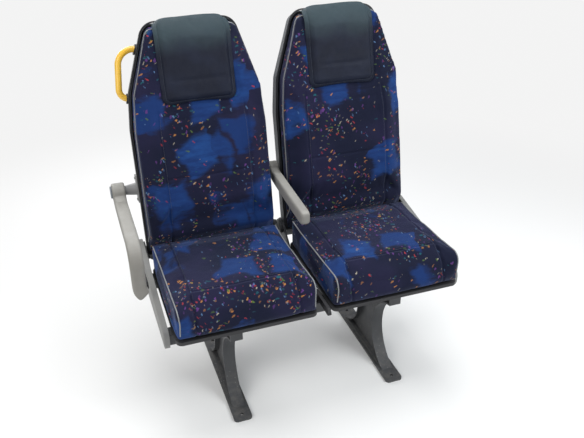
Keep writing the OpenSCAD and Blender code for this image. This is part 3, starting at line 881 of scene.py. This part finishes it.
def one_stitch(length, radius):
    """A short thread, fuller in its middle and sunk at both ends, lying along x."""
    size = {"vertices": 6, "radius": radius, "depth": length}
    piece = primitive(bpy.ops.mesh.primitive_cylinder_add, rotation=(0, math.pi / 2, 0), **size)
    with editing(piece):
        for s in (-1, 1):
            bpy.ops.mesh.select_all(action="SELECT")
            bpy.ops.mesh.bisect(plane_co=(s * length / 4, 0, 0), plane_no=(1, 0, 0))
        pick(piece, "verts", lambda co, normal: abs(co.x) > length * 0.4)
        bpy.ops.transform.resize(value=(1, 0.55, 0.55))
        bpy.ops.transform.translate(value=(0, 0, -radius * 0.8))
    return piece


def make_cushions(cloth, yarn, thread_finish):
    """The seat cushions, with piping where their side panels meet the top and the front."""
    def reach(co):
        return 0.004 + 0.016 * rise(co.z, 0.03, 0.07) * (1 - rise(abs(co.x), 0.15, 0.21))

    flat = Matrix.Translation((-SIDES["aisle"], 0, -PAN_TOP))
    pad = swollen(
        "aisle_cushion", flat, voxel=0.0062, shrink=0.006, pressure=4.0,
        reach=reach, held=lambda co: co.z < 0.014 or co.y > 0.145,
    )
    half = 0.2225
    for vertex in pad.data.vertices:
        co = vertex.co
        rear = rise(co.y, 0.10, 0.16)
        co.x = max(-half, min(half, co.x))
        co.y = min(0.1765, co.y + 0.007 * rear)
        co.z = max(0.0005, co.z + 0.006 * rear * rise(co.z, 0.05, 0.085))
    press(pad, cushion_shape)
    cover = surface_of(pad)
    profile = [(0.170, 0.0785, 0.014), (-0.206, 0.065, 0.048), (-0.214, 0.03, 0.03), (0.170, 0.03, 0.014)]
    seams = {}
    for s in (-1, 1):
        starts, ways = [], []
        for point, way in wrap_line(profile, 360):
            if point.x < 0.162 and point.y > 0.022:
                out = Vector((s * 0.25, way.x * 0.97, way.y * 0.97))
                starts.append(Vector((s * 0.2090, point.x, point.y)) + out * 0.05)
                ways.append(-out)
        seams[s] = laid_on(cover, starts, ways, -0.0007)
    places = []
    for s in (-1, 1):
        starts = [Vector((s * (CUSHION_SEAM - STITCH_OFF), 0.13 - STITCH_STEP * i, 0.3)) for i in range(72)]
        places += stitch_places(cover, starts, (0, 0, -1))
    starts = [Vector((-0.148 + STITCH_STEP * i, FRONT_SEAM + STITCH_OFF, 0.3)) for i in range(66)]
    places += stitch_places(cover, starts, (0, 0, -1))
    for side, piece in (("aisle", pad), ("window", copy_of(pad))):
        place = Matrix.Translation((SIDES[side], 0, PAN_TOP))
        settle(piece, f"{side}_cushion_cover", "frame", cloth, place, None)
        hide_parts(f"{side}_cushion")
        stitch = row_of(one_stitch(length=0.0031, radius=0.0006), places)
        settle(stitch, f"{side}_cushion_stitches", "frame", thread_finish, place)
        for s, row in seams.items():
            cord = cord_along(row, 0.0020)
            hand = "left" if s < 0 else "right"
            settle(cord, f"{side}_cushion_piping_{hand}", "frame", yarn, place, None)


def make_piping(yarn, cover):
    """Thin pale piping sewn along the front edge of each backrest's sides and over its shoulders."""
    starts, ways = [], []
    line = back_edge(300)
    first = min(range(len(line)), key=lambda i: line[i][0].x if abs(line[i][0].y - 0.03) < 0.004 else 9)
    for point, way in line[first:] + line[:first]:
        if point.y > 0.034:
            depth = -0.062 + 0.012 * rise(point.y, 0.60, 0.73) + 0.85 * max(0.0, 0.075 - point.y)
            starts.append(Vector((point.x + way.x * 0.04, depth, point.y + way.y * 0.04)))
            ways.append(Vector((-way.x, 0, -way.y)))
    row = laid_on(cover, starts, ways, -0.0008)
    for side in SIDES:
        cord = cord_along(row, 0.0021)
        settle_on_back(cord, side, "piping", yarn, None)


def make_pockets(net, hem_cloth):
    """Elastic net pockets on the shells: the leaning net, its hem at the rim and the strip at its foot."""
    foot, rim, half = 0.074, 0.296, 0.166
    mesh = 0.011

    def on_net(u, t):
        """Point of the net: u from -1 to 1 across, t from 0 at the foot to 1 at the rim."""
        flank = rise(abs(u), 0.84, 1.0)
        out = 0.012 + 0.026 * t + 0.003 * math.sin(math.pi * t)
        out = out * (1 - flank) * (1 - 0.10 * u * u) + 0.001
        x = math.copysign(half * min(1.0, abs(u) * 1.06 - 0.06 * u * u), u)
        return Vector((x, SHELL_REAR + out, foot + (rim - foot) * t))

    def edging(side, name, t, radius):
        """The cord across the net at t."""
        cord = cord_along([on_net(-1 + i / 30, t) for i in range(61)], radius)
        return settle_on_back(cord, side, f"pocket_{name}", hem_cloth, None)

    width, length = 2 * half + 0.06, rim - foot
    for side in SIDES:
        sheet = primitive(
            bpy.ops.mesh.primitive_grid_add, x_subdivisions=64, y_subdivisions=28, size=1, calc_uvs=True
        )
        marks = sheet.data.uv_layers.active.data
        for loop in sheet.data.loops:
            co = sheet.data.vertices[loop.vertex_index].co
            marks[loop.index].uv = ((co.x + 0.5) * width / mesh, (co.y + 0.5) * length / mesh)
        for vertex in sheet.data.vertices:
            vertex.co = on_net(vertex.co.x * 2, vertex.co.y + 0.5)
        settle_on_back(sheet, side, "pocket_net", net, None)
        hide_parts(f"{side}_pocket")
        hem = edging(side, "rim", 1.0, 0.0028)
        strip = edging(side, "foot", 0.0, 0.0022)


# Armrests


def foam_skin(arm, hub, smoothings):
    """An armrest's arm and hub under one soft skin, a little fuller on top."""
    piece = joined([arm, hub])
    fit_modifier(piece, "REMESH", mode="VOXEL", voxel_size=0.0022)
    fit_modifier(piece, "SMOOTH", factor=0.6, iterations=smoothings)
    press(piece, lambda co, normal: 0.0012 * rise(normal.z, 0.3, 0.9) * rise(ARM_Y - 0.03 - co.y, 0, 0.05))
    return piece


def make_aisle_armrest(skin):
    """Foam armrest: a hub, a level bar, and a nose bent down and in toward the seat at its tip."""
    x, y, z = AISLE_ARM_X, ARM_Y, ARM_Z
    bar, nose, tip = z - 0.030, y - 0.258, z - 0.030 - 0.1351
    bend, curl = 0.062, 42
    rounding = [(0.0030, 0.93), (0.0025, 0.84), (0.0010, 0.70)]
    hub = turned_disc((x, y, z), radius=0.028, depth=0.042, edge=0.005)
    tangent = Vector((math.sin(math.radians(curl)), 0, -math.cos(math.radians(curl))))
    arm = drawn(
        (x, y + 0.004, z), width=0.041, height=0.054, corner=0.011,
        path=[
            ("draw", (0, -0.028, -0.020), (1, 1, 0.70)),
            ("draw", (0, -0.024, -0.010), (1, 1, 0.80)),
            ("draw", (0, -0.100, 0.0), (1.02, 1, 1.04)),
            ("draw", (0, -0.110, 0.0), (1.0, 1, 0.98)),
            ("bend", (x, nose, bar - bend), (1, 0, 0), 90, 12),
            ("draw", (0, 0, tip - bar + bend), (1, 1, 1)),
            ("bend", (x + 0.038, nose - bend, tip), (0, 1, 0), -curl, 7),
            *[("draw", tuple(tangent * step), (size,) * 3) for step, size in rounding],
        ],
    )
    piece = foam_skin(arm, hub, smoothings=7)
    settle(piece, "aisle_armrest_skin", "aisle_arm", skin, None, None)
    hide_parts("aisle_armrest")


def make_centre_armrest(skin):
    """Slim foam armrest between the seats: deep at its front, with a soft top."""
    hub = turned_disc((0.0, ARM_Y, ARM_Z), radius=0.024, depth=0.032, edge=0.004)
    arm = drawn(
        (0.0, ARM_Y + 0.002, ARM_Z - 0.001), width=0.0315, height=0.044, corner=0.009,
        path=[
            ("draw", (0, -0.034, -0.014), (1, 1, 0.92)),
            ("draw", (0, -0.100, -0.0065), (1, 1, 1.07)),
            ("draw", (0, -0.110, -0.0050), (1, 1, 1.05)),
            ("draw", (0, -0.070, -0.0025), (1, 1, 1.03)),
            ("draw", (0, -0.010, 0.0005), (0.96, 1, 0.92)),
            ("draw", (0, -0.006, 0.0005), (0.86, 1, 0.80)),
            ("draw", (0, -0.002, 0.0), (0.74, 1, 0.74)),
        ],
    )
    piece = foam_skin(arm, hub, smoothings=6)
    settle(piece, "centre_armrest_skin", "centre_arm", skin, None, None)
    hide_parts("centre_armrest")


def ringed_cap(middle, s, rings, **size):
    """A soft-edged disc facing along x, to the side that s gives, with rings turned in its face."""
    cap = turned_disc(middle, **size)
    inset_rings(cap, lambda co, normal: normal.x * s > 0.99 and (co - Vector(middle)).length < 0.01, rings)
    return cap


def make_arm_cap(plastic):
    """Cap on the aisle armrest's hub: a soft-edged disc with a turned ring and a shallow dish."""
    ring = [(0.0035, 0), (0.0006, -0.0009), (0.0012, 0), (0.0006, 0.0009)]
    dish = [(0.0030, -0.0003), (0.0040, -0.0005)]
    size = {"radius": 0.0200, "depth": 0.0048, "edge": 0.0011, "sides": 48}
    cap = ringed_cap((-0.5503, ARM_Y, ARM_Z), -1, ring + dish, **size)
    settle(cap, "aisle_arm_cap_disc", "aisle_arm", plastic)
    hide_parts("aisle_arm_cap")


# Trim and fastenings


def make_edge_trims(plastic):
    """Dark trim strip that covers the seam between each backrest's cover and its shell."""
    line = [
        (p.x + w.x * 0.0004, PAD_SEAM + 0.0012, p.y + w.y * 0.0004)
        for p, w in back_edge(280)
        if p.y > -0.036
    ][1:]
    for side in SIDES:
        first = min(range(len(line)), key=lambda i: line[i][0] if abs(line[i][2] + 0.03) < 0.006 else 9)
        strip = cord_along(line[first:] + line[:first], 0.0026, 3)
        settle_on_back(strip, side, "edge_trim", plastic, None)


def hex_bolt():
    """Hex bolt head on its washer, standing on the xy plane."""
    across, depth, washer_depth = 0.013, 0.0055, 0.0016
    size = {"vertices": 6, "radius": across / math.sqrt(3), "depth": depth}
    head = primitive(bpy.ops.mesh.primitive_cylinder_add, location=(0, 0, depth / 2 + washer_depth), **size)
    inset_rings(head, lambda co, normal: normal.z > 0.9, [(0.0009, 0.0006), (0.0016, -0.0004)])
    soften(head, width=0.0003, segments=2, degrees=35)
    washer = turned_disc(
        (0, 0, washer_depth / 2), across * 0.92, washer_depth, edge=0.0004, turn=(0, 0, 0), sides=28
    )
    return joined([head, washer])


def socket_screw(radius=0.0045, depth=0.0024):
    """Low round screw head with a hollow socket, standing on the xy plane."""
    size = {"vertices": 24, "radius": radius, "depth": depth}
    screw = primitive(bpy.ops.mesh.primitive_cylinder_add, location=(0, 0, depth / 2), **size)
    rings = [(radius * 0.22, radius * 0.12), (radius * 0.28, 0), (radius * 0.06, -depth * 0.55)]
    inset_rings(screw, lambda co, normal: normal.z > 0.9, rings)
    soften(screw, width=0.00025, segments=2, degrees=40)
    return screw


def weld_bead(start, end, radius=0.0022):
    """A run of weld: a bead of overlapping ripples."""
    start, end = Vector(start), Vector(end)
    count = max(12, int((end - start).length / 0.0011))
    bead = cord_along([start.lerp(end, i / count) for i in range(count + 1)], radius, 2)
    way = (end - start).normalized()
    press(bead, lambda co, normal: 0.0005 * math.sin((co - start).dot(way) * 2 * math.pi / 0.0046))
    return bead


def make_fastenings(steel, zinc, plastic):
    """Bolts through the legs' lips, welds at the recline brackets' feet, and screws in the plastic parts."""
    places = [
        facing((x, beam + s * 0.0238, 0.341), (0, s, 0), (1, 0, 0))
        for x in (-0.27, 0.27)
        for beam in (-0.15, 0.15)
        for s in (-1, 1)
    ]
    settle(row_of(hex_bolt(), places), "leg_bolts", "frame", zinc)

    beads = [
        weld_bead((middle + s * face, 0.134, 0.3702), (middle + s * face, 0.168, 0.3702))
        for middle in SIDES.values()
        for s in (-1, 1)
        for face in (0.225, 0.231)
    ]
    settle(joined(beads), "bracket_welds", "frame", steel, None, None)

    for side, s in HANDS.items():
        spots = [(-0.160, 0.354), (0.192, 0.352)]
        places = [facing((s * 0.4883, y, z), (s, 0, 0), (0, 1, 0)) for y, z in spots]
        settle(row_of(socket_screw(), places), f"{side}_cover_screws", "frame", zinc)
    places = [facing((-0.2259, 0.001, 0.215 + s * 0.036), (-1, 0, 0), (0, 1, 0)) for s in (-1, 1)]
    screws = row_of(socket_screw(radius=0.0048, depth=0.003), places)
    settle(screws, "arm_bracket_screws", "aisle_back", zinc, back_frame("aisle"))
    for side in SIDES:
        spots = [(-0.175, 0.0), (0.175, 0.0), (-0.19, 0.335), (0.19, 0.335)]
        places = [facing((x, SHELL_REAR - 0.0001, h), (0, 1, 0), (1, 0, 0)) for x, h in spots]
        plugs = row_of(socket_screw(radius=0.0065, depth=0.0022), places)
        settle_on_back(plugs, side, "shell_screws", plastic)


def half_width(height):
    """Half the backrest's width at a height above the recline axis."""
    near = sorted(back_edge(300), key=lambda item: abs(item[0].y - height) + (9 if item[0].x < 0 else 0))
    return near[0][0].x


def make_shell_fields(plastic):
    """Raised field moulded on each shell's rear above the pocket, with a soft step round its border."""
    core = surface_of(nodes["aisle_back_shell"], back_frame("aisle").inverted())
    low, high, margin = 0.338, 0.668, 0.040
    widths = [half_width(low + (high - low) * i / 60) - margin for i in range(61)]
    for side in SIDES:
        sheet = primitive(bpy.ops.mesh.primitive_grid_add, x_subdivisions=90, y_subdivisions=110, size=2)
        for vertex in sheet.data.vertices:
            u, v = vertex.co.x, vertex.co.y
            across = u * (0.72 + 0.28 * math.sqrt(1 - v * v / 2))
            up = v * (0.72 + 0.28 * math.sqrt(1 - u * u / 2))
            height = (low + high) / 2 + up * (high - low) / 2
            half = widths[round(60 * (height - low) / (high - low))]
            x = across * half
            hit, _, _, _ = core.ray_cast(Vector((x, 0.2, height)), Vector((0, -1, 0)))
            border = min((1 - abs(u)) * half, (1 - abs(v)) * (high - low) / 2)
            lift = -0.0006 + 0.0040 * rise(border, 0.0008, 0.0060) - 0.0022 * rise(border, 0.0095, 0.0150)
            vertex.co = Vector((x, hit.y + lift, height))
        with editing(sheet):
            bpy.ops.mesh.flip_normals()
        fit_modifier(sheet, "SMOOTH", factor=0.5, iterations=2)
        fit_modifier(sheet, "SOLIDIFY", thickness=0.0016, offset=-1)
        settle_on_back(sheet, side, "shell_field", plastic, 60)


def make_cover_faces(plastic):
    """Raised face of each side cover, stepped in from its edge, with a shallow tray in it."""
    edge = [(-0.158, 0.352, 0.023), (0.192, 0.352, 0.023), (0.234, 0.425, 0.031), (-0.158, 0.366, 0.023)]
    line = wrap_line(edge, 120)
    for side, s in HANDS.items():
        face = primitive(bpy.ops.mesh.primitive_circle_add, vertices=len(line), fill_type="NGON")
        for vertex, (point, _) in zip(face.data.vertices, line):
            vertex.co = Vector((s * 0.4876, point.x, point.y))
        with editing(face):
            bpy.ops.mesh.normals_make_consistent(inside=False)
            bpy.ops.mesh.extrude_region_move(TRANSFORM_OT_translate={"value": (s * 0.0014, 0, 0)})
            bpy.ops.mesh.inset(thickness=0.0045, depth=0)
            bpy.ops.mesh.inset(thickness=0.0010, depth=-0.0007)
            turn_outward()
        soften(face, width=0.0005, segments=2, degrees=30)
        settle(face, f"{side}_cover_face", "frame", plastic)


def make_hinge_caps(plastic):
    """Round caps over the recline hinges in the side covers: a ring round a shallow dish."""
    rings = [(0.0050, 0), (0.0005, -0.0007), (0.0011, 0), (0.0005, 0.0007), (0.0060, -0.0004)]
    size = {"radius": 0.0265, "depth": 0.0024, "edge": 0.0008, "sides": 56}
    for side, s in HANDS.items():
        cap = ringed_cap((s * 0.4894, PIVOT.y, PIVOT.z), s, rings, **size)
        settle(cap, f"{side}_hinge_cap", "frame", plastic)


def make_lever_grips(plastic):
    """Fine ribs on the recline levers, where fingers pull them."""
    ribs = {
        "aisle": ((0.0011, 0.0022, 0.0115), (-0.4981, 0.066, 0.3938), 0.0002),
        "window": ((0.0075, 0.0022, 0.0011), (0, -0.249, 0.4045), -0.0001),
    }
    for side, (size, (x, y, z), climb) in ribs.items():
        rib = primitive(bpy.ops.mesh.primitive_cube_add, size=1, location=(0, 0, 0), scale=size)
        fit_modifier(rib, "BEVEL", width=0.0005, segments=2, limit_method="NONE")
        places = [Matrix.Translation((x, y + i * 0.0047, z + i * climb)) for i in range(6)]
        settle(row_of(rib, places), f"{side}_lever_ribs", "frame", plastic)


def zinc_plate():
    """Dull zinc on bolt heads: pale crystals, darker in blotches."""
    zinc = Finish("dull zinc")
    grains = zinc.parts(zinc.cells(900, "Color"))[0]
    tone = zinc.mix((0.30, 0.30, 0.29), (0.42, 0.42, 0.41), grains)
    tone = zinc.mix(tone, (0.14, 0.12, 0.10), zinc.clouds(160, 3).ease(0.52, 0.7) * 0.6)
    return zinc.set(
        base_color=tone,
        metallic=0.85,
        roughness=grains * 0.15 + 0.36,
        normal=zinc.relief(zinc.clouds(900, 2), 0.0002, 0.4),
    )


def main():
    set_up_camera()
    set_up_studio()
    cloth = moquette()
    skin = leatherette()
    shell = grained_plastic("anthracite shell", (0.042, 0.046, 0.053), (0.054, 0.058, 0.066))
    black = grained_plastic("black plastic", (0.018, 0.018, 0.02), (0.026, 0.026, 0.028), roughness=0.5)
    pan = grained_plastic("black pan plastic", (0.025, 0.025, 0.027), (0.034, 0.034, 0.037), roughness=0.62)
    grey = grained_plastic("grey cover plastic", (0.20, 0.20, 0.195), (0.235, 0.235, 0.225), scuffs=0.3)
    cast = grained_plastic("grey casting", (0.22, 0.22, 0.22), (0.27, 0.27, 0.265), grain=430, roughness=0.45)
    cap = grained_plastic("blue-grey cap", (0.165, 0.183, 0.205), (0.195, 0.213, 0.235), roughness=0.4)
    steel = powder_coat()
    yellow = yellow_coat()
    arm = armrest_skin()
    piping = thread("pale piping", (0.27, 0.28, 0.29))
    stitching = thread("navy stitching", (0.05, 0.06, 0.085), 0.0009)
    webbing = thread("black elastic", (0.03, 0.03, 0.033), 0.0022)
    net = pocket_net()
    zinc = zinc_plate()

    dress = [
        ("pedestal", steel), ("beam_caps", black), ("beam", steel), ("seat_pan", pan), ("side_cover", grey),
        ("recline_brackets", steel), ("recline_lever", black), ("back_hinges", steel), ("back_shell", shell),
        ("grab_handle_sockets", black), ("grab_handle", yellow), ("arm_bracket", cast), ("armrest", arm),
        ("arm_cap", cap), ("cushion", cloth), ("back_pad", cloth), ("head_pad", skin), ("pocket", net),
    ]
    for name, node in nodes.items():
        finish = next(material for part, material in dress if part in name)
        node.data.materials.clear()
        node.data.materials.append(finish)
        take_up(node)
        bpy.ops.object.shade_smooth_by_angle(angle=math.radians(32))

    cover = make_back_pads(cloth, stitching)
    make_head_pads(skin, stitching)
    make_cushions(cloth, piping, stitching)
    make_piping(piping, cover)
    make_pockets(net, webbing)
    make_aisle_armrest(arm)
    make_centre_armrest(arm)
    make_arm_cap(cap)
    make_edge_trims(black)
    make_shell_fields(shell)
    make_cover_faces(grey)
    make_hinge_caps(cap)
    make_lever_grips(black)
    make_fastenings(steel, zinc, black)


main()
lay_down_tools()
